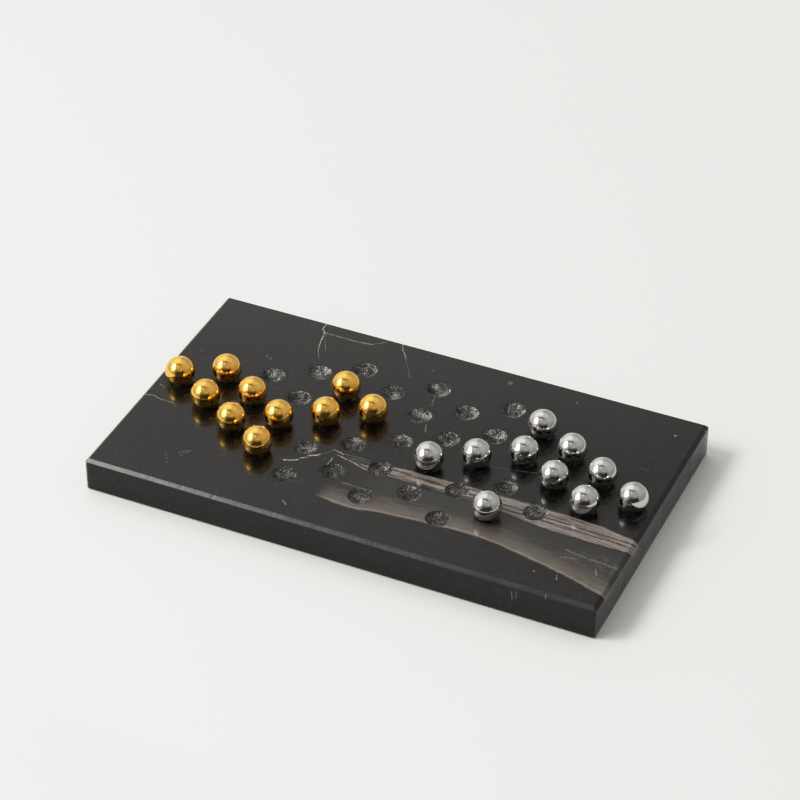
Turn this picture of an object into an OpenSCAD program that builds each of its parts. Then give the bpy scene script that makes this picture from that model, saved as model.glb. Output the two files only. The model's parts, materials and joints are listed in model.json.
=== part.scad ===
// Chinese checkers board for two players: a polished stone slab with a
// triangular grid of shallow ground pits, ten gold and ten silver metal balls
// in the middle of a game, and four thin rubber feet under the slab.
// Millimetres, +Z up. Origin: centre of the footprint, on the table.

/* [Slab] */
// Length of the slab, along X
slab_l = 290; // [270:1:340]
// Width of the slab, along Y
slab_w = 166.5; // [120:0.5:240]
// Thickness of the slab
slab_t = 19.3; // [10:0.1:30]
// Width of the 45 degree chamfer round the top face
top_chamfer = 1.8; // [0.5:0.1:3]
// Width of the small bevel round the underside
bottom_bevel = 0.3; // [0.2:0.1:1.5]
// Width of the small bevel down each upright corner
corner_bevel = 0.8; // [0.2:0.1:2]

/* [Pits] */
// Distance between the centres of neighbouring pits
pitch = 25.4; // [20:0.1:25.8]
// Pits along each side of the rhombus that the grid is cut from
side_pits = 7; // [3:2:7]
// Largest difference between a pit's two grid numbers, which trims the rhombus
trim = 4; // [2:1:4]
// How far the grid's centre lies from the slab's centre, along X
grid_shift = 0.5; // [-2:0.1:2]
// Diameter of a pit's rim, at the top face
rim_d = 13; // [9:0.5:15]
// Depth of a pit at its centre
pit_depth = 2.1; // [1:0.1:4]

/* [Balls] */
// Diameter of a playing ball
ball_d = 16.5; // [12:0.5:20]
// Gap between a seated ball and the bottom of its pit
seat_gap = 0.15; // [0.1:0.05:0.3]

/* [Feet] */
// Diameter of a rubber foot
foot_d = 14; // [8:1:20]
// Thickness of a rubber foot
foot_t = 0.5; // [0.3:0.1:3]
// Distance from the slab's two nearest sides to a foot's centre
foot_inset = 14; // [12:1:40]

/* [Hidden] */
// Grid places [i, j] of the balls: i steps up to the right and j down to the
// right, so i + j counts the columns along X and i - j the half rows along Y
GOLD_PLACES = [
    [0, 0], [1, 0], [0, 1], [1, 1], [0, 2],
    [1, 2], [0, 3], [2, 2], [3, 1], [3, 2],
];
SILVER_PLACES = [
    [3, 4], [4, 4], [5, 4], [6, 3], [6, 4],
    [5, 5], [6, 5], [5, 6], [3, 6], [6, 6],
];
balls_each = len(GOLD_PLACES);

base_z = foot_t;
top_z = base_z + slab_t;
column_step = pitch * sqrt(3) / 2;
row_step = pitch / 2;
last = side_pits - 1;

// A pit is a cap of a sphere: its radius follows from the rim and the depth
pit_r = (pow(rim_d / 2, 2) + pow(pit_depth, 2)) / (2 * pit_depth);
pit_centre_z = top_z - pit_depth + pit_r;
ball_centre_z = top_z - pit_depth + seat_gap + ball_d / 2;

foot_x = slab_l / 2 - foot_inset;
foot_y = slab_w / 2 - foot_inset;
past = 1;  // how far a cutting profile runs past the slab

// Where grid place [i, j] is on the slab
function grid_xy(place) = [
    grid_shift + (place[0] + place[1] - last) * column_step,
    (place[0] - place[1]) * row_step,
];

// All the pits' places: a rhombus with its two sharp corners trimmed off
PLACES = [
    for (i = [0:last])
        for (j = [0:last])
            if (abs(i - j) <= trim) [i, j]
];

// Upright outline of the slab across a width: chamfered top, bevelled bottom
module upright_outline(width) {
    half = width / 2;
    polygon([
        [bottom_bevel - half, base_z],
        [half - bottom_bevel, base_z],
        [half, base_z + bottom_bevel],
        [half, top_z - top_chamfer],
        [half - top_chamfer, top_z],
        [top_chamfer - half, top_z],
        [-half, top_z - top_chamfer],
        [-half, base_z + bottom_bevel],
    ]);
}

// The slab's outline from above, with a small bevel at each corner
module plan_outline() {
    x = slab_l / 2;
    y = slab_w / 2;
    b = corner_bevel;
    polygon([
        [b - x, -y], [x - b, -y], [x, b - y], [x, y - b],
        [x - b, y], [b - x, y], [-x, y - b], [-x, b - y],
    ]);
}

// The slab before the pits are ground: three outlines intersected
module slab_blank() {
    intersection() {
        rotate([90, 0, 0])
            linear_extrude(slab_w + 2 * past, center = true)
                upright_outline(slab_l);
        rotate([90, 0, 90])
            linear_extrude(slab_l + 2 * past, center = true)
                upright_outline(slab_w);
        translate([0, 0, base_z - past])
            linear_extrude(slab_t + 2 * past)
                plan_outline();
    }
}

// The polished stone slab, one piece, with a pit at every grid place
module board() {
    color("#33343a")
        difference() {
            slab_blank();
            for (place = PLACES)
                translate([grid_xy(place)[0], grid_xy(place)[1], pit_centre_z])
                    sphere(r = pit_r, $fn = 96);
        }
}

// A ball seated in the pit at a grid place
module ball(place) {
    translate([grid_xy(place)[0], grid_xy(place)[1], ball_centre_z])
        sphere(d = ball_d, $fn = 64);
}

// One of the gold player's balls
module gold_ball(n) {
    color("#d9b45a") ball(GOLD_PLACES[n - 1]);
}

// One of the silver player's balls
module silver_ball(n) {
    color("#d4d6da") ball(SILVER_PLACES[n - 1]);
}

// A round stick-on foot under one corner; x_side and y_side are 1 or -1
module foot(x_side, y_side) {
    color("#1d1d1f")
        translate([x_side * foot_x, y_side * foot_y, 0])
            cylinder(d = foot_d, h = foot_t, $fn = 64);
}

board();
for (n = [1:balls_each]) {
    gold_ball(n);
    silver_ball(n);
}
foot(-1, -1);  // foot_front_left
foot(1, -1);  // foot_front_right
foot(-1, 1);  // foot_back_left
foot(1, 1);  // foot_back_right
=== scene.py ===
"""Looks for a chinese checkers board: a polished black marble slab with ground pits,
ten gold and ten silver metal balls, and four thin rubber feet. Everything is in metres."""

import json
import math
import random

import bmesh
import bpy
from mathutils import Matrix, Vector, noise
from mathutils.geometry import delaunay_2d_cdt


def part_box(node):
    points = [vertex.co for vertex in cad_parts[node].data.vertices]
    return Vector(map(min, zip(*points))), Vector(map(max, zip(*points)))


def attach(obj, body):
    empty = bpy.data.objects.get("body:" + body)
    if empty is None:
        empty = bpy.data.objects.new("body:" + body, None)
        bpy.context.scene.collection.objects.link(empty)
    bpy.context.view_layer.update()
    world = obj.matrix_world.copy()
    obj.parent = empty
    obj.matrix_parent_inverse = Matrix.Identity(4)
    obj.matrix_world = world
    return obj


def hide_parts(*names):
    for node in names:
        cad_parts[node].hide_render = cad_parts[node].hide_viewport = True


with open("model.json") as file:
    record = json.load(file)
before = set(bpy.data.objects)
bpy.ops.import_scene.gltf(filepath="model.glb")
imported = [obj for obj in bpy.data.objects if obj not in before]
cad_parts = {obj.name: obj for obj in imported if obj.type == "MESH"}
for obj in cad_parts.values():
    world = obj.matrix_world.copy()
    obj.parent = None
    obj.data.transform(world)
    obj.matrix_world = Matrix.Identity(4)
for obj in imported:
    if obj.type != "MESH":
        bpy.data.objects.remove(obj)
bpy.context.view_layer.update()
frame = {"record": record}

MM = 0.001
BALLS_EACH = 10
GOLD_BALLS = [f"gold_ball_{n}" for n in range(1, BALLS_EACH + 1)]
SILVER_BALLS = [f"silver_ball_{n}" for n in range(1, BALLS_EACH + 1)]
FEET = ["foot_front_left", "foot_front_right", "foot_back_left", "foot_back_right"]

# The slab's edges: the arrises are the chamfer's two edges, each a little rounded
TOP_CHAMFER = 1.8 * MM
BOTTOM_BEVEL = 0.3 * MM
CORNER_RADIUS = 1.3 * MM
SMALLEST_RADIUS = 0.3 * MM
TOP_ARRIS = 0.6 * MM
LOW_ARRIS = 0.5 * MM
BOTTOM_ARRIS = 0.15 * MM
ARRIS_STEPS = 4
ARRIS_POINTS = ARRIS_STEPS + 1
CHAMFER_POINTS = 2 * ARRIS_POINTS
SIDE_STEPS = 6
CORNER_STEPS = 5
EDGE_SPACING = 0.8 * MM
EDGE_GUARD = 0.5 * MM
EDGE_CHIPS = 30
EDGE_SEED = 7
EDGE_GRAIN = 0.02 * MM

# The pits: the apron is the flat ring of top face that is modelled with each pit
RIM_RADIUS = 6.5 * MM
RIM_WANDER = 0.28 * MM
PIT_ROUGHNESS = 0.14 * MM
RIM_CHIPS = 1.1 * MM
CHIP_REACH = 0.11
PIT_APRON = 8.3 * MM
PIT_SEGMENTS = 84

# The slab's material slots
POLISHED, GROUND, HONED, SIDE = range(4)

# The balls and the feet
BALL_WAVE = 0.006 * MM
BALL_RIPPLE = 0.0012 * MM
BALL_CUTS = 23
FOOT_SEGMENTS = 64


# ---------------------------------------------------------------- meshes


def make_object(name, mesh, materials):
    """Links a mesh object, smooth shaded, with its materials."""
    for material in materials:
        mesh.materials.append(material)
    for polygon in mesh.polygons:
        polygon.use_smooth = True
    piece = bpy.data.objects.new(name, mesh)
    bpy.context.scene.collection.objects.link(piece)
    return piece


def pit_places():
    """The pits' centres on the top face: one under each ball, and one in each empty pit's opening."""
    places = []
    for ball in GOLD_BALLS + SILVER_BALLS:
        low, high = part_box(ball)
        places.append(((low + high) / 2).to_2d())
    for opening in frame["record"]["physics"]["openings"]:
        low, high = opening["box_m"]
        places.append(Vector(((low[0] + high[0]) / 2, (low[1] + high[1]) / 2)))
    return places


def pit_depth():
    """How deep a pit is: its lowest point is the place of the mount centre_pit."""
    mounts = {m["name"]: m for m in frame["record"]["mounts"]}
    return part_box("board")[1].z - mounts["centre_pit"]["pos_m"][2]


def fillet(before, corner, after, radius):
    """Points on the arc that rounds a corner of a profile."""
    a = (before - corner).normalized()
    b = (after - corner).normalized()
    half = a.angle(b) / 2
    reach = radius / math.tan(half)
    centre = corner + (a + b).normalized() * (radius / math.sin(half))
    start = corner + a * reach - centre
    end = corner + b * reach - centre
    points = []
    for k in range(ARRIS_POINTS):
        t = k / ARRIS_STEPS
        points.append(centre + (start * (1 - t) + end * t).normalized() * radius)
    return points


def edge_profile(low, high):
    """(inset, z) pairs from the top face, over the chamfer and down the side, to the underside."""
    well_inside = 6 * MM
    corners = [
        Vector((well_inside, high)),
        Vector((TOP_CHAMFER, high)),
        Vector((0, high - TOP_CHAMFER)),
        Vector((0, low + BOTTOM_BEVEL)),
        Vector((BOTTOM_BEVEL, low)),
        Vector((well_inside, low)),
    ]
    radii = [TOP_ARRIS, LOW_ARRIS, BOTTOM_ARRIS, BOTTOM_ARRIS]
    rounded = [fillet(*corners[k : k + 3], radius) for k, radius in enumerate(radii)]
    side_top, side_low = rounded[1][-1].y, rounded[2][0].y
    side_rise = (side_low - side_top) / SIDE_STEPS
    side = [Vector((0, side_top + side_rise * k)) for k in range(1, SIDE_STEPS)]
    guard = Vector((EDGE_GUARD, 0))
    inside_top, inside_low = rounded[0][0] + guard, rounded[3][-1] + guard
    return [inside_top, *rounded[0], *rounded[1], *side, *rounded[2], *rounded[3], inside_low]


def outline_point(s, half, inset, spans):
    """The point at step s round the slab's outline, moved in by inset, with rounded corners."""
    radius = max(CORNER_RADIUS - inset, SMALLEST_RADIUS)
    x, y = half.x - inset - radius, half.y - inset - radius
    centres = [(-x, -y), (x, -y), (x, y), (-x, y), (-x, -y)]
    quarter = math.pi / 2
    for side, steps in enumerate(spans):
        start, end = Vector(centres[side]), Vector(centres[side + 1])
        if s < steps:
            t = s / steps
            outward = Vector((math.sin(side * quarter), -math.cos(side * quarter)))
            return start * (1 - t) + end * t + outward * radius
        s -= steps
        if s < CORNER_STEPS:
            angle = (side - 1 + s / CORNER_STEPS) * quarter
            return end + Vector((math.cos(angle), math.sin(angle))) * radius
        s -= CORNER_STEPS
    raise ValueError("s is past the end of the outline")


def edge_chips(total, rng):
    """Small chips along an arris: (centre, half width, depth) in metres of outline."""
    chips = []
    for _ in range(EDGE_CHIPS):
        deep = 0.02 + 0.10 * rng.random() ** 3
        chips.append((rng.uniform(0, total), rng.uniform(0.3, 0.9) * MM, deep * MM))
    return chips


def chip_depth(s, chips):
    """How deep the arris is chipped at s."""
    depth = 0.0
    for centre, width, deep in chips:
        t = abs(s - centre) / width
        if t < 1:
            depth = max(depth, deep * (1 - t * t))
    return depth


def wear_away(at, half, rise, worn):
    """Moves a point of an arris into the stone: inward, and down or up as rise says."""
    if abs(at.x / half.x) > abs(at.y / half.y):
        way = (-math.copysign(1, at.x), 0, rise)
    else:
        way = (0, -math.copysign(1, at.y), rise)
    return at + Vector(way) * (worn * 0.7)


def edge_ring(bm, k, profile, half, spans, upper_chips, lower_chips):
    """The ring of vertices at point k of the edge's profile, worn where it is an arris."""
    inset, z = profile[k]
    last = len(profile) - 1
    near_top = 1 < k <= CHAMFER_POINTS
    near_low = last - CHAMFER_POINTS <= k < last - 1
    ring = []
    for s in range(sum(spans) + 4 * CORNER_STEPS):
        at = Vector((*outline_point(s, half, inset, spans), z))
        worn = 0.0
        if near_top:
            worn = chip_depth(s * EDGE_SPACING, upper_chips) * (1 if k <= ARRIS_POINTS else 0.4)
        if near_low:
            worn = chip_depth(s * EDGE_SPACING, lower_chips)
        if near_top or near_low:
            worn += EDGE_GRAIN * (1 + noise.noise(at / (0.9 * MM)))
        ring.append(bm.verts.new(wear_away(at, half, -1 if near_top else 1, worn)))
    return ring


def add_edge_band(bm, half, low, high):
    """The slab's rim: chamfer, sides and bottom bevel. Returns its first and last loops."""
    spans = [round(2 * half.x / EDGE_SPACING), round(2 * half.y / EDGE_SPACING)] * 2
    profile = edge_profile(low, high)
    rng = random.Random(EDGE_SEED)
    length = (sum(spans) + 4 * CORNER_STEPS) * EDGE_SPACING
    upper_chips = edge_chips(length, rng)
    lower_chips = edge_chips(length, rng)
    rings = [
        edge_ring(bm, k, profile, half, spans, upper_chips, lower_chips)
        for k in range(len(profile))
    ]
    for k, (upper, lower) in enumerate(zip(rings, rings[1:])):
        for s, (a, b) in enumerate(zip(upper, lower)):
            t = (s + 1) % len(upper)
            face = bm.faces.new((a, b, lower[t], upper[t]))
            middle = face.calc_center_median()
            short_end = half.x - abs(middle.x) < half.y - abs(middle.y)
            if k < 2:
                face.material_index = POLISHED
            elif k >= CHAMFER_POINTS or short_end:
                face.material_index = SIDE
            else:
                face.material_index = HONED
    return rings[0], rings[-1]


def rim_radius(shift, angle):
    """The rim's radius at an angle: a circle that wanders a little."""
    way = Vector((math.cos(angle), math.sin(angle), shift))
    return RIM_RADIUS + RIM_WANDER * (noise.noise(way * 1.3) + 0.6 * noise.noise(way * 5.1))


def pit_drop(at, u, depth, angle, shift):
    """How far the ground surface lies below the top face at u rim radii from the centre."""
    if u <= 1:
        curve = (RIM_RADIUS**2 + depth**2) / (2 * depth)
        r = u * RIM_RADIUS
        bowl = math.sqrt(curve**2 - r**2) - (curve - depth)
        rough = noise.noise(at / (1.3 * MM)) + 0.7 * noise.noise(at / (0.6 * MM))
        return bowl + PIT_ROUGHNESS * (1 + rough) * min(1, (1 - u) * 8 + 0.3)
    way = Vector((math.cos(angle), math.sin(angle), shift * 2))
    chip = max(0.0, noise.noise(way * 4.3) - 0.12) * RIM_CHIPS
    return chip * max(0.0, 1 - (u - 1) / CHIP_REACH)


def beside(centre, reach, angle, z):
    """The point at a reach from centre, at an angle in radians from +X, and at height z."""
    return Vector((centre.x + reach * math.cos(angle), centre.y + reach * math.sin(angle), z))


def add_pit(bm, centre, top, depth, number):
    """One ground pit with its chipped rim and flat apron. Returns the apron's outer loop."""
    inner = [k / 21 for k in range(1, 18)]
    steps = inner + [0.85, 0.89, 0.925, 0.955, 0.98, 1.0, 1.02, 1.05, 1.09, 1.13]
    shift = number * 3.7
    rings = []
    for u in steps:
        ring = []
        for s in range(PIT_SEGMENTS):
            angle = 2 * math.pi * s / PIT_SEGMENTS
            reach = rim_radius(shift, angle) * u
            at = beside(centre, reach, angle, top)
            drop = pit_drop(at, u, depth, angle, shift)
            ring.append(bm.verts.new(at - Vector((0, 0, drop))))
        rings.append(ring)
    for reach in (PIT_APRON * 0.97, PIT_APRON):
        ring = []
        for s in range(PIT_SEGMENTS):
            angle = 2 * math.pi * s / PIT_SEGMENTS
            ring.append(bm.verts.new(beside(centre, reach, angle, top)))
        rings.append(ring)
    middle_top = Vector((centre.x, centre.y, top))
    middle_drop = pit_drop(middle_top, 0, depth, 0, shift)
    middle = bm.verts.new(middle_top - Vector((0, 0, middle_drop)))
    for s in range(PIT_SEGMENTS):
        t = (s + 1) % PIT_SEGMENTS
        bm.faces.new((middle, rings[0][s], rings[0][t])).material_index = GROUND
        for k in range(len(rings) - 1):
            face = bm.faces.new((rings[k][s], rings[k + 1][s], rings[k + 1][t], rings[k][t]))
            if k < len(steps) and steps[k] < 1.0:
                face.material_index = GROUND
    return rings[-1]


def fill_flat(bm, outer, holes, flip=False):
    """Fills a flat face between an outer loop and round holes with triangles."""
    verts = list(outer)
    edges = [(k, (k + 1) % len(outer)) for k in range(len(outer))]
    centres = []
    for loop in holes:
        start = len(verts)
        verts += loop
        edges += [(start + k, start + (k + 1) % len(loop)) for k in range(len(loop))]
        centres.append(sum((v.co.to_2d() for v in loop), Vector((0, 0))) / len(loop))
    flat = [v.co.to_2d() for v in verts]
    _, _, triangles, sources, _, _ = delaunay_2d_cdt(flat, edges, [], 1, 1e-9)
    for triangle in triangles:
        corners = [verts[sources[k][0]] for k in triangle]
        middle = sum((v.co.to_2d() for v in corners), Vector((0, 0))) / 3
        if any((middle - c).length < PIT_APRON * 0.98 for c in centres):
            continue
        if flip:
            corners.reverse()
        bm.faces.new(corners)


def make_slab(materials):
    """The marble slab with its pits, in place of the CAD board."""
    low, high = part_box("board")
    bm = bmesh.new()
    first, last = add_edge_band(bm, high.to_2d(), low.z, high.z)
    depth = pit_depth()
    loops = [add_pit(bm, at, high.z, depth, n) for n, at in enumerate(pit_places())]
    fill_flat(bm, first, loops)
    fill_flat(bm, last, [], flip=True)
    bmesh.ops.recalc_face_normals(bm, faces=bm.faces)
    mesh = bpy.data.meshes.new("marble_slab")
    bm.to_mesh(mesh)
    bm.free()
    slab = make_object("marble_slab", mesh, materials)
    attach(slab, "slab")
    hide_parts("board")


def make_ball(node, material, number):
    """A polished metal ball, a touch out of round, in place of its CAD node."""
    low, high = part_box(node)
    centre, radius = (low + high) / 2, (high.z - low.z) / 2
    bm = bmesh.new()
    bmesh.ops.create_cube(bm, size=2)
    bmesh.ops.subdivide_edges(bm, edges=bm.edges, cuts=BALL_CUTS, use_grid_fill=True)
    turn = Matrix.Rotation(number * 1.7, 3, "X") @ Matrix.Rotation(number * 2.3, 3, "Z")
    for vert in bm.verts:
        x, y, z = (math.tan(c * math.pi / 4) for c in vert.co)
        way = Vector((x, y, z)).normalized()
        wave = noise.noise(way * 2.1 + Vector((number, 0, 0)))
        ripple = noise.noise(way * 9 + Vector((0, number, 0)))
        reach = radius - BALL_WAVE * (1 + wave) - BALL_RIPPLE * (1 + ripple)
        vert.co = centre + (turn @ way) * reach
    mesh = bpy.data.meshes.new(node + "_polished")
    bm.to_mesh(mesh)
    bm.free()
    ball = make_object(node + "_polished", mesh, [material])
    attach(ball, node)
    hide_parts(node)


def make_foot(node, material):
    """A thin round rubber foot with a rounded edge, in place of its CAD node."""
    low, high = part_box(node)
    centre = (low + high) / 2
    radius, tall = (high.x - low.x) / 2, high.z - low.z
    profile = [(0.55, 0), (0.9, 0), (0.97, 0.06), (1, 0.25), (1, 0.8), (0.985, 1), (0.5, 1)]
    bm = bmesh.new()
    rings = []
    for share, height in profile:
        ring = []
        for s in range(FOOT_SEGMENTS):
            angle = 2 * math.pi * s / FOOT_SEGMENTS
            at = beside(centre, radius * share, angle, low.z + tall * height)
            ring.append(bm.verts.new(at))
        rings.append(ring)
    bottom = bm.verts.new((centre.x, centre.y, low.z))
    top = bm.verts.new((centre.x, centre.y, high.z))
    for s in range(FOOT_SEGMENTS):
        t = (s + 1) % FOOT_SEGMENTS
        bm.faces.new((bottom, rings[0][t], rings[0][s]))
        bm.faces.new((top, rings[-1][s], rings[-1][t]))
        for under, over in zip(rings, rings[1:]):
            bm.faces.new((under[s], under[t], over[t], over[s]))
    mesh = bpy.data.meshes.new(node + "_rubber")
    bm.to_mesh(mesh)
    bm.free()
    foot = make_object(node + "_rubber", mesh, [material])
    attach(foot, "slab")
    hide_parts(node)


# ---------------------------------------------------------------- node helpers


class Nodes:
    """Short calls for building a node tree."""

    def __init__(self, tree):
        self.tree = tree

    def add(self, kind, inputs=(), **settings):
        node = self.tree.nodes.new(kind)
        for key, value in settings.items():
            setattr(node, key, value)
        for key, value in dict(inputs).items():
            self.put(node.inputs[key], value)
        return node

    def put(self, socket, value):
        if isinstance(value, bpy.types.NodeSocket):
            self.tree.links.new(value, socket)
        else:
            socket.default_value = value

    def math(self, operation, *values):
        return self.add("ShaderNodeMath", enumerate(values), operation=operation).outputs[0]

    def vector(self, operation, *values, output=0, **named):
        node = self.add("ShaderNodeVectorMath", enumerate(values), operation=operation)
        for key, value in named.items():
            self.put(node.inputs[key], value)
        return node.outputs[output]

    def noise(self, at, scale, detail=3.0, rough=0.55, distortion=0.0):
        inputs = {"Vector": at, "Scale": scale, "Detail": detail}
        inputs.update({"Roughness": rough, "Distortion": distortion})
        return self.add("ShaderNodeTexNoise", inputs)

    def fac(self, at, scale, detail=3.0, rough=0.55, distortion=0.0):
        return self.noise(at, scale, detail, rough, distortion).outputs["Fac"]

    def split(self, at):
        return self.add("ShaderNodeSeparateXYZ", {0: at}).outputs

    def join(self, *parts):
        return self.add("ShaderNodeCombineXYZ", enumerate(parts)).outputs[0]

    def place(self):
        return self.add("ShaderNodeTexCoord").outputs["Object"]

    def times(self, *values):
        """The product of two or more values."""
        product = values[0]
        for value in values[1:]:
            product = self.math("MULTIPLY", product, value)
        return product

    def remainder(self, value):
        """What is left of 1 after value."""
        return self.math("SUBTRACT", 1, value)

    def ramp(self, value, low, high, out_low=0.0, out_high=1.0):
        """A smooth step from out_low to out_high as value goes from low to high."""
        inputs = {"Value": value, "From Min": low, "From Max": high}
        inputs.update({"To Min": out_low, "To Max": out_high})
        node = self.add("ShaderNodeMapRange", inputs, interpolation_type="SMOOTHSTEP")
        return node.outputs[0]

    def mix(self, share, a, b):
        node = self.add("ShaderNodeMix", data_type="RGBA")
        self.put(node.inputs[0], share)
        self.put(node.inputs[6], a)
        self.put(node.inputs[7], b)
        return node.outputs[2]


def new_material(name):
    """An empty material, its node helper and its Principled shader."""
    material = bpy.data.materials.new(name)
    material.use_nodes = True
    nodes = Nodes(material.node_tree)
    shader = material.node_tree.nodes["Principled BSDF"]
    return material, nodes, shader


def grey(value):
    """A grey as a colour socket takes it."""
    return (value, value, value, 1.0)


# ---------------------------------------------------------------- materials


# White calcite veins on the top face: (brightness, half width, points), in millimetres
VEINS = [
    (0.95, 0.24, [(-82.5, 84), (-82, 76), (-80, 73.5), (-78.5, 67), (-77, 60), (-75.5, 56)]),
    (0.35, 0.20, [(-75.5, 56), (-72.5, 50)]),
    (0.30, 0.18, [(-79, 72), (-74, 62), (-71, 56)]),
    (0.70, 0.24, [(-80, 73), (-76, 73), (-71, 73), (-60, 73), (-51, 74), (-46, 78), (-43, 83)]),
    (0.90, 0.22, [(-36, 83), (-33.5, 77), (-30, 72.5), (-28, 69)]),
    (0.16, 0.22, [(-28, 69), (-22, 60), (-19, 54)]),
    (0.16, 0.45, [(0, 46), (1.5, 41), (2.5, 36)]),
    (0.75, 0.20, [(6.5, 20), (8.3, 13.5)]),
    (0.75, 0.22, [(-147, -19.6), (-139, -18.5), (-135, -19.5), (-126, -19.6)]),
    (0.50, 0.24, [(-141, -7.5), (-137, -9.5)]),
    (1.00, 0.44, [(-49.5, -39.8), (-46, -38.6), (-43, -36.6)]),
    (0.95, 0.34, [(-42.5, -34.8), (-39.5, -33.2)]),
    (1.00, 0.46, [(-39.2, -31.5), (-36, -29.4), (-34, -27.3)]),
    (0.16, 0.30, [(-34, -27.3), (-31, -24), (-29, -21)]),
    (0.40, 0.20, [(-46, -46), (-42, -46.5)]),
    (0.95, 0.24, [(-27, -28), (-26.5, -31), (-27, -34.5)]),
    (0.30, 0.22, [(-22, -33), (-18, -34)]),
    (0.95, 0.30, [(-29, -21), (-26, -21.5), (-23, -22.5)]),
    (0.80, 0.30, [(-25.5, -24), (-20, -25.5), (-14, -27), (-7, -29.5)]),
    (0.34, 0.18, [(-23, -22), (-15, -21.5), (-8, -22)]),
    (0.34, 0.18, [(-20, -23.4), (-10, -23.6), (-6, -24.2)]),
    (0.30, 0.16, [(-19, -24.6), (-12, -25.4), (-6, -26.4)]),
    (0.36, 0.20, [(-98, -53), (-101, -60)]),
    (0.30, 0.18, [(-100, -54), (-103, -58)]),
    (0.14, 0.26, [(-109, -61), (-106, -65)]),
    (0.70, 0.24, [(-35, -71), (-32, -73)]),
    (0.17, 0.24, [(42, -2), (60, 1.8), (77, 5.5)]),
    (0.45, 0.20, [(-13, -44.5), (4, -44.5)]),
    (0.10, 0.34, [(123, 32.5), (129, 31.5)]),
    (0.70, 0.26, [(117, -67), (118, -70)]),
    (0.25, 0.40, [(133, -55), (135, -59)]),
    (0.20, 0.60, [(114, -46.5), (128, -48.5), (145, -50)]),
    (0.22, 0.50, [(113, -53), (121, -51.5)]),
]

# Small light inclusions on the top face: (brightness, radius, x, y), in millimetres
SPOTS = [
    (0.45, 0.7, -134.5, 29.5),
    (0.55, 0.8, -99, 39.5),
    (0.95, 0.8, -96, 38.5),
    (0.12, 1.1, -10, 66),
    (0.20, 2.3, 33, 73),
    (0.55, 0.9, 73, 71.5),
    (0.75, 0.9, 131.5, 66),
    (0.80, 0.8, 131, 82),
    (0.80, 0.7, 105, -69),
    (0.70, 0.6, -105, -67.5),
]

# Light ticks on the front face, as veins are but with (x, height from the top)
FRONT_MARKS = [
    (0.34, 0.22, [(99.0, -4.5), (99.4, -9.5)]),
    (0.24, 0.20, [(101.3, -3.5), (101.6, -8)]),
    (0.3, 0.3, [(117, -1), (117.4, -2.5)]),
]

# Outlines of the tan band on the top face, as (x, y) in millimetres
UPPER_TOP = [
    (-40, -25.5), (-18, -26.5), (-6, -24.5), (5, -21), (20, -20), (70, -19.5),
    (110, -20.5), (130, -22.5), (145, -25.5),
]
UPPER_BOTTOM = [
    (-40, -27.5), (-18, -28.5), (-6, -29.7), (5, -29.8), (50, -30.5), (70, -32),
    (90, -35), (145, -36),
]
LOWER_BOTTOM = [
    (-40, -60), (-20, -60.5), (0, -62), (10, -60), (20, -58.5), (40, -57.3), (60, -56),
    (80, -57.5), (100, -61.5), (120, -66), (145, -73.5),
]

# The cracks along the band's upper part: (y where x is 0, slope, half width)
CRACKS = [(-23.4, -0.036, 0.42), (-27.9, -0.0225, 0.38)]

# The part of the top face that an outline's curve covers, in millimetres each side of its middle
CURVE_X, CURVE_Y = 150, 90

# How the stone bends its marks, and how far the grid of pits lies off the slab's middle
SWAY, SHAKE = 1.6, 1.1
GRID_SHIFT = 0.5


def line_through(n, x, points):
    """The y of a smooth line through a few points, at x; all in millimetres."""
    curve = n.add("ShaderNodeFloatCurve")
    handles = curve.mapping.curves[0].points
    wide, tall = 2 * CURVE_X, 2 * CURVE_Y
    spots = [((px + CURVE_X) / wide, (py + CURVE_Y) / tall) for px, py in points]
    while len(handles) < len(spots):
        handles.new(0.5, 0.5)
    for handle, spot in zip(handles, spots):
        handle.location = spot
    curve.mapping.update()
    n.put(curve.inputs["Value"], n.math("MULTIPLY_ADD", x, 1 / wide, 0.5))
    return n.math("MULTIPLY_ADD", curve.outputs[0], tall, -CURVE_Y)


def near_line(n, at, points):
    """Distance from at to a line of straight pieces, in millimetres."""
    nearest = None
    for a, b in zip(points, points[1:]):
        a, b = Vector((*a, 0)), Vector((*b, 0))
        along = b - a
        off = n.vector("SUBTRACT", at, a)
        share = n.vector("DOT_PRODUCT", off, along / along.length_squared, output=1)
        share = n.math("MINIMUM", n.math("MAXIMUM", share, 0), 1)
        foot = n.vector("SCALE", along, Scale=share)
        gap = n.vector("LENGTH", n.vector("SUBTRACT", off, foot), output=1)
        nearest = gap if nearest is None else n.math("MINIMUM", nearest, gap)
    return nearest


def body_colour(n, p):
    """The near-black body with faint brown and grey clouds, a little paler towards the back."""
    cloud = n.fac(p, 0.022, 5, 0.62, 0.6)
    mottle = n.fac(p, 0.35, 4, 0.6)
    y = n.split(p)[1]
    colour = n.mix(n.ramp(cloud, 0.36, 0.66), (0.0016, 0.0015, 0.0014, 1), (0.0042, 0.0038, 0.0032, 1))
    colour = n.mix(n.ramp(mottle, 0.48, 0.76, 0, 0.7), colour, (0.0180, 0.0170, 0.0150, 1))
    return n.mix(n.ramp(y, 15, 80, 0, 0.5), colour, (0.0160, 0.0155, 0.0145, 1))


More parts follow.
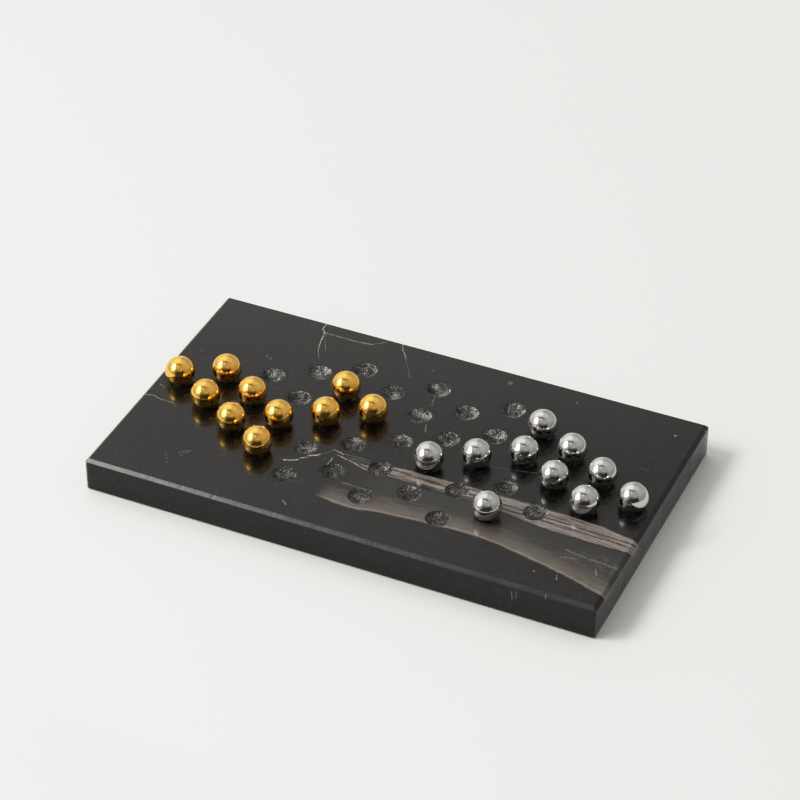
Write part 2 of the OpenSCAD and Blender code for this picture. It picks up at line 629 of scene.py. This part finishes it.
def add_band(n, colour, flat, bent, below):
    """Lays the tan band over colour: a striped upper part, a soft lower part and a grey middle."""
    x, y, _ = n.split(bent)
    y = n.math("SUBTRACT", y, n.times(below, 0.42))
    upper_bottom = line_through(n, x, UPPER_BOTTOM)
    from_top = n.math("SUBTRACT", line_through(n, x, UPPER_TOP), y)
    above = n.math("SUBTRACT", y, line_through(n, x, LOWER_BOTTOM))
    lines = n.join(n.times(x, 0.025), n.times(from_top, 0.75))
    hair = n.fac(n.join(n.times(x, 0.12), n.times(from_top, 2.4)), 1.0, 3, 0.6)

    stripe = n.fac(lines, 1.0, 5, 0.75)
    stripes = n.times(n.ramp(stripe, 0.34, 0.58, 0.16, 1.0), n.ramp(hair, 0.34, 0.56, 0.42, 1.0))
    broken = n.fac(lines, 3.0, 2)
    for offset, slope, wide in CRACKS:
        gap = n.math("ABSOLUTE", n.math("SUBTRACT", y, n.math("MULTIPLY_ADD", x, slope, offset)))
        crack = n.times(n.ramp(gap, wide, wide * 2.2, 1, 0), n.ramp(broken, 0.35, 0.5), 0.9)
        stripes = n.times(stripes, n.remainder(crack))
    from_bottom = n.math("SUBTRACT", y, upper_bottom)
    upper = n.times(n.ramp(from_top, 0, 1.2), n.ramp(from_bottom, 0, 1.2), n.ramp(x, -20, -4), stripes)

    reach = n.ramp(n.fac(lines, 2.2, 4, 0.6), 0.25, 0.75, 9, 24)
    faded = n.ramp(n.math("DIVIDE", above, reach), 0.1, 1)
    soft = n.times(n.ramp(above, 0, 0.9), n.remainder(faded), 0.55)
    lip = n.ramp(n.math("ABSOLUTE", n.math("SUBTRACT", above, 1.2)), 0, 1.6, 0.45, 0)
    lower = n.times(n.math("ADD", soft, lip), n.ramp(x, -24, -12), n.ramp(hair, 0.25, 0.6, 0.6, 1.05))

    between = n.ramp(n.math("SUBTRACT", upper_bottom, y), -1, 2)
    between = n.times(between, n.ramp(above, 0, 6), n.ramp(x, -25, 20))
    off = n.vector("DISTANCE", n.vector("MULTIPLY", bent, (0.45, 1, 0)), (60, -51, 0), output=1)
    cloudy = n.times(n.ramp(off, 12, 4), n.ramp(n.fac(flat, 0.3, 4, 0.65), 0.42, 0.66, 0.1, 0.75))

    fade = n.ramp(below, 0.5, 9, 1, 0.0)
    tone = n.ramp(n.fac(flat, 0.06, 3), 0.36, 0.64)
    lower_tan = n.mix(tone, (0.185, 0.146, 0.120, 1), (0.205, 0.182, 0.155, 1))
    upper_tan = n.mix(tone, (0.32, 0.255, 0.225, 1), (0.31, 0.275, 0.245, 1))
    colour = n.mix(n.times(between, fade), colour, (0.022, 0.021, 0.018, 1))
    colour = n.mix(n.times(lower, fade), colour, lower_tan)
    colour = n.mix(n.times(upper, fade), colour, upper_tan)
    return n.mix(n.times(cloudy, fade), colour, (0.066, 0.062, 0.054, 1))


def vein_light(n, at, bright, half_width, points):
    """A vein's brightness, from its middle line to nothing at one and a half half-widths."""
    return n.ramp(near_line(n, at, points), half_width * 0.45, half_width * 1.5, bright, 0)


def white_marks(n, p, bent, below):
    """How white the stone is: veins, inclusions, the marks on the sides, and the slab's rounded corners,
    whose white is partly calcite and partly a painted highlight.
    """
    x, y, _ = n.split(p)
    light = vein_light(n, bent, *VEINS[0])
    for vein in VEINS[1:]:
        light = n.math("MAXIMUM", light, vein_light(n, bent, *vein))
    for bright, radius, spot_x, spot_y in SPOTS:
        gap = n.vector("DISTANCE", bent, Vector((spot_x, spot_y, 0)), output=1)
        light = n.math("MAXIMUM", light, n.ramp(gap, radius * 0.3, radius, bright, 0))
    worn = n.ramp(n.fac(p, 0.55, 3, 0.6), 0.34, 0.58, 0.2, 1.0)
    light = n.times(light, worn, n.ramp(below, 0.5, 12, 1, 0.35))

    front = n.join(x, n.times(below, -1))
    on_front = n.ramp(y, -80.5, -81.5)
    for tick in FRONT_MARKS:
        light = n.math("MAXIMUM", light, n.times(vein_light(n, front, *tick), on_front))

    broken = n.fac(p, 0.9, 4, 0.7)
    sheet = n.math("ABSOLUTE", n.math("SUBTRACT", y, n.math("MULTIPLY_ADD", below, 0.06, 78.6)))
    sheet = n.times(n.ramp(sheet, 0.3, 1.6, 0.8, 0), n.ramp(x, 143.2, 144.8), n.ramp(broken, 0.42, 0.58))
    light = n.math("MAXIMUM", light, sheet)
    # the rounded upright corners: partly white calcite, partly a painted highlight where the corner
    # catches the light
    at_end = n.ramp(n.math("ABSOLUTE", x), 143.9, 144.7)
    at_side = n.ramp(n.math("ABSOLUTE", y), 82.0, 82.8)
    corner = n.times(at_end, at_side, n.ramp(broken, 0.3, 0.6, 0.05, 0.4))
    return n.math("MAXIMUM", light, corner)


def stone_colours(n, at):
    """The marble's colour from its place in the slab. Returns the colour and how white it is."""
    per_metre = 1 / MM
    p = n.vector("MULTIPLY_ADD", at, (per_metre, per_metre, per_metre), (-GRID_SHIFT, 0, 0))
    below = n.math("SUBTRACT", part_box("board")[1].z * per_metre, n.split(p)[2])
    flat = n.vector("MULTIPLY", p, (1, 1, 0))
    sway = n.vector("SUBTRACT", n.noise(p, 0.11, 2).outputs["Color"], (0.5, 0.5, 0.5))
    shake = n.vector("SUBTRACT", n.noise(p, 0.75, 3).outputs["Color"], (0.5, 0.5, 0.5))
    bend = n.vector("ADD", n.vector("SCALE", sway, Scale=SWAY), n.vector("SCALE", shake, Scale=SHAKE))
    bent = n.vector("ADD", flat, n.vector("MULTIPLY", bend, (1, 1, 0)))
    colour = add_band(n, body_colour(n, p), flat, bent, below)
    light = white_marks(n, p, bent, below)
    return n.mix(light, colour, (0.44, 0.42, 0.39, 1)), light


def ground_marble():
    """The pits' rough stone: dark, dusted grey, with white crumbled grains where the tool tore it, and
    painted light: the walls that face the key light are painted whiter.
    """
    material, n, shader = new_material("ground_marble")
    at = n.place()
    colour, _ = stone_colours(n, at)
    speck = n.fac(at, 2000, 3, 0.65)
    patch = n.fac(at, 230, 2)
    rings = n.fac(n.vector("MULTIPLY", at, (260, 260, 5200)), 1.0, 2)
    dust = n.mix(n.ramp(patch, 0.35, 0.65), (0.003, 0.003, 0.003, 1), (0.030, 0.029, 0.028, 1))
    dust = n.mix(n.ramp(rings, 0.50, 0.66, 0, 0.4), dust, (0.16, 0.155, 0.148, 1))

    # white crumbs, and the pits grow whiter towards the back of the slab; painted light: the walls of
    # each pit that face the key light are painted whiter, as lit walls are
    more_behind = n.ramp(n.split(at)[1], -45 * MM, 50 * MM, 0, 0.04)
    # painted light: pit walls whose normals face the key light, at the front left, are made whiter
    normal = n.add("ShaderNodeNewGeometry").outputs["Normal"]
    painted_lit_wall = n.vector("DOT_PRODUCT", normal, (-0.045, -0.06, 0), output=1)
    crumbs_and_painted_light = n.math("ADD", n.math("MULTIPLY_ADD", patch, 0.35, speck), more_behind)
    crumbs_and_painted_light = n.ramp(n.math("ADD", crumbs_and_painted_light, painted_lit_wall), 0.80, 0.84)
    # this white holds both the real crumbs and the painted light on the lit pit walls
    dust = n.mix(crumbs_and_painted_light, dust, (0.80, 0.79, 0.76, 1))

    n.put(shader.inputs["Base Color"], n.mix(0.9, colour, dust))
    n.put(shader.inputs["Roughness"], n.ramp(speck, 0.3, 0.7, 0.38, 0.6))
    n.put(shader.inputs["Specular IOR Level"], 0.24)
    bump = n.add("ShaderNodeBump", {"Height": speck, "Strength": 1.0, "Distance": 0.0004})
    n.put(shader.inputs["Normal"], bump.outputs[0])
    return material


def smooth_marble(name, shine, smoothest, dullest):
    """The slab's stone where it is polished, honed along the chamfer, or cut at the sides."""
    material, n, shader = new_material(name)
    at = n.place()
    colour, light = stone_colours(n, at)
    haze = n.fac(at, 90, 4, 0.6)
    rough = n.ramp(haze, 0.35, 0.65, smoothest, dullest)
    n.put(shader.inputs["Base Color"], colour)
    n.put(shader.inputs["Roughness"], n.math("MULTIPLY_ADD", light, 0.12, rough))
    n.put(shader.inputs["Specular IOR Level"], shine)
    return material


def polished_marble():
    """The top face: a soft gloss under a thin, sharper one."""
    material = smooth_marble("polished_marble", 0.17, 0.2, 0.28)
    shader = material.node_tree.nodes["Principled BSDF"]
    shader.inputs["Coat Weight"].default_value = 0.36
    shader.inputs["Coat Roughness"].default_value = 0.03
    return material


def metal_material(name, colour, bright, dull):
    """Polished metal, its roughness between bright and dull, with the fine marks of handling."""
    material, n, shader = new_material(name)
    at = n.place()
    haze = n.fac(at, 300, 3)
    grain = n.fac(at, 1500, 2, 0.6)
    darker = [c * 0.93 for c in colour[:3]] + [1]
    n.put(shader.inputs["Base Color"], n.mix(n.ramp(haze, 0.3, 0.7), colour, darker))
    n.put(shader.inputs["Metallic"], 1.0)
    n.put(shader.inputs["Roughness"], n.ramp(haze, 0.35, 0.7, bright, dull))
    bump = n.add("ShaderNodeBump", {"Height": grain, "Strength": 0.12, "Distance": 0.0001})
    n.put(shader.inputs["Normal"], bump.outputs[0])
    return material


def rubber_material():
    """Dark matt rubber with a little dust."""
    material, n, shader = new_material("foot_rubber")
    dust = n.fac(n.place(), 900, 4)
    n.put(shader.inputs["Base Color"], n.mix(dust, grey(0.012), grey(0.03)))
    n.put(shader.inputs["Roughness"], n.ramp(dust, 0.3, 0.7, 0.6, 0.85))
    return material


def floor_material():
    """A plain pale floor, a little paler far behind the board."""
    material, n, shader = new_material("pale_floor")
    at = n.place()
    x, y, _ = n.split(at)
    far_behind = n.ramp(n.math("MULTIPLY_ADD", x, 0.5, y), 0.1, 1.3)
    pale = n.mix(n.fac(at, 3), (0.825, 0.822, 0.814, 1), (0.86, 0.857, 0.849, 1))
    n.put(shader.inputs["Base Color"], n.mix(far_behind, pale, (0.94, 0.937, 0.931, 1)))
    n.put(shader.inputs["Roughness"], 0.6)
    return material


# ---------------------------------------------------------------- stage

FLOOR_HALF = 8.0

# The dark card: how near and how far its flat part reaches in front of the board, its upright
# part's height, its ends in x, and how it clears the floor, all in metres
CARD_NEAR, CARD_FAR, CARD_TOP = -0.24, -0.95, 0.22
CARD_NEAR_ENDS = (-0.17, 0.27)
CARD_FAR_ENDS = (-0.36, 0.95)
CARD_NEAR_GAP, CARD_FAR_GAP = 1 * MM, 3 * MM

# The camera
LENS = 131.57
SHIFT = (-0.000625, 0.000625)
CAMERA_PLACE = (0.50607, -1.12261, 0.97301)
CAMERA_FORWARD = (-0.32823, 0.72878, -0.60096)
CAMERA_DOWN = (0.25062, -0.54622, -0.79927)

# The studio light's faint warm tint
WARM = (1.0, 0.983, 0.95)

# How bright light is shown: as it is up to the first pair, then ever less
FILM_SHOULDER = [(0.6, 0.6), (0.74, 0.735), (0.9, 0.835), (1.1, 0.895), (1.5, 0.94), (2.4, 0.975)]
FILM_WHITE = 6.0


def make_floor():
    """The plain floor that the board stands on."""
    bm = bmesh.new()
    bmesh.ops.create_grid(bm, x_segments=24, y_segments=24, size=FLOOR_HALF)
    mesh = bpy.data.meshes.new("floor")
    bm.to_mesh(mesh)
    bm.free()
    floor = make_object("floor", mesh, [floor_material()])


def make_dark_card():
    """The dark end of the room in front of the board, which only glossy surfaces reflect."""
    left, right = CARD_NEAR_ENDS
    far_left, far_right = CARD_FAR_ENDS
    bm = bmesh.new()
    near_edge = [bm.verts.new((x, CARD_NEAR, CARD_NEAR_GAP)) for x in (left, right)]
    fold = [bm.verts.new((x, CARD_FAR, CARD_FAR_GAP)) for x in (far_left, far_right)]
    top_edge = [bm.verts.new((x, CARD_FAR, CARD_TOP)) for x in (far_left, far_right)]
    bm.faces.new((near_edge[0], near_edge[1], fold[1], fold[0]))
    bm.faces.new((fold[0], fold[1], top_edge[1], top_edge[0]))
    mesh = bpy.data.meshes.new("dark_card")
    bm.to_mesh(mesh)
    bm.free()
    material, n, shader = new_material("dark_card")
    n.put(shader.inputs["Base Color"], n.mix(n.fac(n.place(), 4, 2), grey(0.02), grey(0.05)))
    n.put(shader.inputs["Roughness"], 0.9)
    card = make_object("dark_card", mesh, [material])
    card.visible_camera = False
    card.visible_diffuse = False
    card.visible_shadow = False


def make_camera():
    """A long lens from in front and to the right, looking down on the board."""
    data = bpy.data.cameras.new("camera")
    data.sensor_width = 36.0
    data.lens = LENS
    data.shift_x, data.shift_y = SHIFT
    camera = bpy.data.objects.new("camera", data)
    camera.location = CAMERA_PLACE
    forward, down = Vector(CAMERA_FORWARD), Vector(CAMERA_DOWN)
    right = down.cross(forward).normalized()
    turn = Matrix((right, -down, -forward)).transposed()
    camera.rotation_mode = "QUATERNION"
    camera.rotation_quaternion = turn.to_quaternion()
    bpy.context.scene.collection.objects.link(camera)
    bpy.context.scene.camera = camera


def toward(azimuth, elevation):
    """The direction at an azimuth from +Y towards +X and an elevation, in degrees."""
    a, e = math.radians(azimuth), math.radians(elevation)
    return Vector((math.sin(a) * math.cos(e), math.cos(a) * math.cos(e), math.sin(e)))


def add_light(name, way, distance, spread, radiance, roll):
    """An area light that spreads so many degrees each side of its centre, seen from the board."""
    light = bpy.data.lights.new(name, "AREA")
    light.shape = "RECTANGLE"
    light.size, light.size_y = (2 * distance * math.tan(math.radians(half)) for half in spread)
    light.energy = radiance * math.pi * light.size * light.size_y
    light.color = WARM
    lamp = bpy.data.objects.new(name, light)
    lamp.location = way * distance
    lamp.rotation_mode = "QUATERNION"
    turn = Matrix.Rotation(math.radians(roll), 3, "Z").to_quaternion()
    lamp.rotation_quaternion = way.to_track_quat("Z", "Y") @ turn
    bpy.context.scene.collection.objects.link(lamp)


def make_lights():
    """The key light: a tilted softbox in front of the board and to its left, hottest at its lamp."""
    add_light("softbox", toward(-126, 36), 2.6, (14, 20), 1.8, 45)
    add_light("softbox_bright_side", toward(-137, 41), 2.5, (7, 12), 4.4, 43)
    add_light("softbox_lamp", toward(-112, 50), 2.4, (6.2, 6.2), 17, 61)
    add_light("softbox_core", toward(-121, 39), 2.3, (2.6, 2.6), 48, 45)


def lobe(n, way, centre, wide, narrow, height):
    """A soft bright patch of the world round a direction, from narrow to wide degrees off it."""
    near = n.vector("DOT_PRODUCT", way, centre, output=1)
    return n.ramp(near, math.cos(math.radians(wide)), math.cos(math.radians(narrow)), 0, height)


def add_bright_parts(n, way, azimuth):
    """The room's even light, with the window behind to the left and soft glows overhead."""
    window_end = n.ramp(azimuth, math.radians(-28), math.radians(-10), 1, 0)
    window = n.times(lobe(n, way, toward(-50, 28), 62, 12, 0.40), window_end)
    light = n.math("ADD", 0.51, window)
    for centre, wide, narrow, height in (
        (toward(-66, 52), 34, 12, 0.46),
        (toward(5, 66), 28, 12, 0.26),
        (toward(62, 42), 34, 10, 0.10),
        (toward(-126, 36), 32, 12, 0.4),
    ):
        light = n.math("ADD", light, lobe(n, way, centre, wide, narrow, height))
    return light


def darken_front(n, light, azimuth, elevation):
    """The photographer and the dark room behind, in front of the board and low down."""
    for middle, near, far, low, high, depth in ((156, 27, 50, 20, 52, 0.93), (100, 25, 58, 8, 46, 0.3)):
        off = n.math("SUBTRACT", azimuth, math.radians(middle))
        off = n.math("ABSOLUTE", n.math("WRAP", off, -math.pi, math.pi))
        across = n.ramp(off, math.radians(near), math.radians(far), 1, 0)
        dark = n.times(across, n.ramp(elevation, math.radians(low), math.radians(high), depth, 0))
        light = n.times(light, n.remainder(dark))
    return light


def darken_boom(n, light, way):
    """The dark boom that holds the softbox, overhead: a band with a thin bar at its middle."""
    boom = n.math("ABSOLUTE", n.vector("DOT_PRODUCT", way, toward(0, 5), output=1))
    for near, far, centre, wide, narrow, depth in (
        (0.06, 0.16, toward(-120, 80), 32, 18, 0.32),
        (0.025, 0.055, toward(-104, 78), 26, 19, 0.8),
        (0.010, 0.024, toward(-95, 45), 52, 44, 0.5),
    ):
        bar = n.times(n.ramp(boom, near, far, 1, 0), lobe(n, way, centre, wide, narrow, depth))
        light = n.times(light, n.remainder(bar))
    return light


def make_world():
    """A pale studio by direction: bright behind to the left, dark where the photographer stands."""
    world = bpy.data.worlds.new("studio")
    world.use_nodes = True
    bpy.context.scene.world = world
    n = Nodes(world.node_tree)
    background = world.node_tree.nodes["Background"]
    way = n.add("ShaderNodeTexCoord").outputs["Generated"]
    x, y, z = n.split(way)
    azimuth = n.math("ARCTAN2", x, y)
    elevation = n.math("ARCSINE", z)
    light = add_bright_parts(n, way, azimuth)
    light = darken_front(n, light, azimuth, elevation)
    light = darken_boom(n, light, way)
    for lamp, wide, narrow in ((toward(-165, 68), 8, 5), (toward(140, 42), 6, 3)):
        light = n.math("ADD", light, lobe(n, way, lamp, wide, narrow, 0.5))
    tinted = [n.times(light, share) for share in WARM]
    n.put(background.inputs["Color"], n.add("ShaderNodeCombineColor", enumerate(tinted)).outputs[0])
    n.put(background.inputs["Strength"], 1.0)


def make_film():
    """A plain display with a soft shoulder, so that the brightest lights don't clip."""
    view = bpy.context.scene.view_settings
    view.view_transform = "Standard"
    view.use_curve_mapping = True
    curves = view.curve_mapping
    curves.white_level = (FILM_WHITE, FILM_WHITE, FILM_WHITE)
    curve = curves.curves[3]
    curve.points[0].location = (0, 0)
    curve.points[1].location = (1, 1)
    for light, shown in FILM_SHOULDER:
        curve.points.new(light / FILM_WHITE, shown)
    for point in curve.points:
        point.handle_type = "VECTOR" if point.location.y < 0.7 else "AUTO"
    curves.update()


make_film()
make_camera()
make_world()
make_lights()
make_floor()
make_dark_card()
make_slab([
    polished_marble(),
    ground_marble(),
    smooth_marble("honed_marble", 0.8, 0.18, 0.25),
    smooth_marble("side_marble", 0.28, 0.2, 0.3),
])
gold = metal_material("gold", (0.98, 0.56, 0.115, 1), 0.11, 0.17)
silver = metal_material("silver", (0.60, 0.595, 0.58, 1), 0.055, 0.10)
for number, node in enumerate(GOLD_BALLS):
    make_ball(node, gold, number)
for number, node in enumerate(SILVER_BALLS):
    make_ball(node, silver, number + BALLS_EACH)
rubber = rubber_material()
for node in FEET:
    make_foot(node, rubber)
